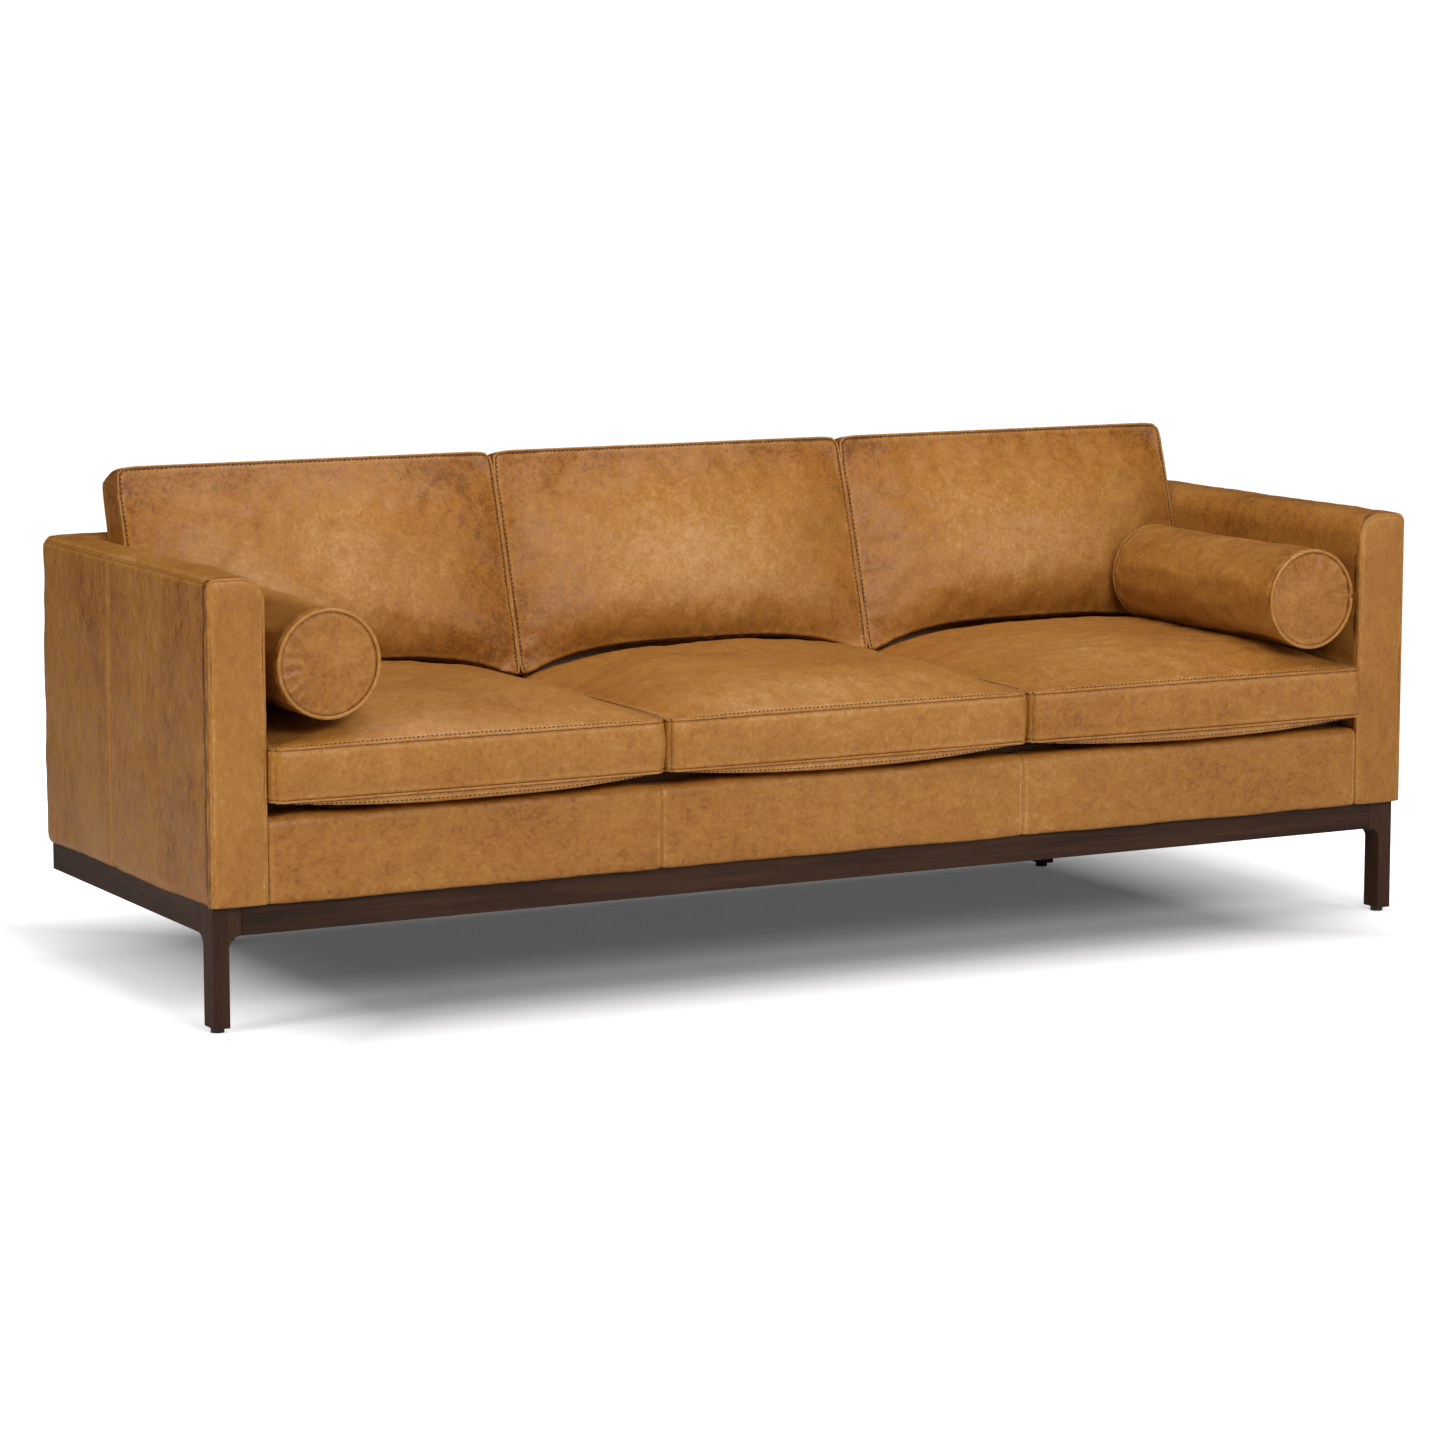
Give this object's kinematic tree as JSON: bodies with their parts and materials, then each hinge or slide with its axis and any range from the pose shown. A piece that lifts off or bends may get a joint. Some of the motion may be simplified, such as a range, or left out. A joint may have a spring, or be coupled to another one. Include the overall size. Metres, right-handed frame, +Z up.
{
  "type": "three-seat sofa with wooden legs",
  "caption": "Leather sofa on a dark wooden plinth frame, with loose seat and back cushions, round bolsters and flared corner legs.",
  "frame": {"origin": "on the floor, under the middle of the overall width and depth", "axes": "+X to the right of someone facing the sofa, +Y towards its back, +Z up; the seat faces -Y"},
  "size_m": [2.29, 0.8, 0.8573],
  "materials": {
    "black_cloth": "matte",
    "cognac_leather": "satin",
    "deck_cloth": "matte",
    "foam": "matte",
    "glide_plastic": "matte",
    "spring_steel": "satin",
    "timber": "matte",
    "walnut": "satin",
    "webbing": "matte",
    "zinc_steel": "satin"
  },
  "bodies": {
    "root": {"arm_bottom_rails": "timber", "back_bottom_rail": "timber", "back_pad": "foam", "back_posts": "timber", "back_top_rail": "timber", "back_webbing": "webbing", "base_bolts": "zinc_steel", "base_front_rail": "walnut", "base_left_rail": "walnut", "base_rear_rail": "walnut", "base_right_rail": "walnut", "base_stretchers": "walnut", "corner_blocks": "timber", "dust_cover": "black_cloth", "front_border_cover": "cognac_leather", "front_border_pad": "foam", "front_left_leg": "walnut", "front_right_leg": "walnut", "inside_back_cover": "cognac_leather", "left_arm_front_panel": "cognac_leather", "left_arm_inside_cover": "cognac_leather", "left_arm_outside_cover": "cognac_leather", "left_arm_pad": "foam", "left_arm_posts": "timber", "left_arm_top_rail": "timber", "left_corner_cover": "cognac_leather", "leg_glides": "glide_plastic", "outside_back_cover": "cognac_leather", "rear_left_leg": "walnut", "rear_right_leg": "walnut", "right_arm_front_panel": "cognac_leather", "right_arm_inside_cover": "cognac_leather", "right_arm_outside_cover": "cognac_leather", "right_arm_pad": "foam", "right_arm_posts": "timber", "right_arm_top_rail": "timber", "right_corner_cover": "cognac_leather", "seat_braces": "timber", "seat_deck_cloth": "deck_cloth", "seat_deck_pad": "foam", "seat_front_rail": "timber", "seat_spring_rail": "timber", "seat_springs": "spring_steel", "spring_clips": "zinc_steel"},
    "seat_cushion_left": {"seat_cushion_left_cover": "cognac_leather", "seat_cushion_left_core": "foam"},
    "seat_cushion_center": {"seat_cushion_center_cover": "cognac_leather", "seat_cushion_center_core": "foam"},
    "seat_cushion_right": {"seat_cushion_right_cover": "cognac_leather", "seat_cushion_right_core": "foam"},
    "back_cushion_left": {"back_cushion_left_cover": "cognac_leather", "back_cushion_left_core": "foam"},
    "back_cushion_center": {"back_cushion_center_cover": "cognac_leather", "back_cushion_center_core": "foam"},
    "back_cushion_right": {"back_cushion_right_cover": "cognac_leather", "back_cushion_right_core": "foam"},
    "bolster_left": {"bolster_left_cover": "cognac_leather", "bolster_left_core": "foam"},
    "bolster_right": {"bolster_right_cover": "cognac_leather", "bolster_right_core": "foam"}
  },
  "joints": [
    {"name": "seat_cushion_left_slide", "type": "slide", "parent": "root", "child": "seat_cushion_left", "axis": [0, -1, 0], "range_m": [0, 0.62]},
    {"name": "seat_cushion_center_slide", "type": "slide", "parent": "root", "child": "seat_cushion_center", "axis": [0, -1, 0], "range_m": [0, 0.62]},
    {"name": "seat_cushion_right_slide", "type": "slide", "parent": "root", "child": "seat_cushion_right", "axis": [0, -1, 0], "range_m": [0, 0.62]},
    {"name": "back_cushion_left_lift", "type": "slide", "parent": "root", "child": "back_cushion_left", "axis": [0, 0.2924, 0.9563], "range_m": [0, 0.42]},
    {"name": "back_cushion_center_lift", "type": "slide", "parent": "root", "child": "back_cushion_center", "axis": [0, 0.2924, 0.9563], "range_m": [0, 0.42]},
    {"name": "back_cushion_right_lift", "type": "slide", "parent": "root", "child": "back_cushion_right", "axis": [0, 0.2924, 0.9563], "range_m": [0, 0.42]},
    {"name": "bolster_left_lift", "type": "slide", "parent": "root", "child": "bolster_left", "axis": [0, 0, 1], "range_m": [0, 0.3]},
    {"name": "bolster_right_lift", "type": "slide", "parent": "root", "child": "bolster_right", "axis": [0, 0, 1], "range_m": [0, 0.3]}
  ]
}
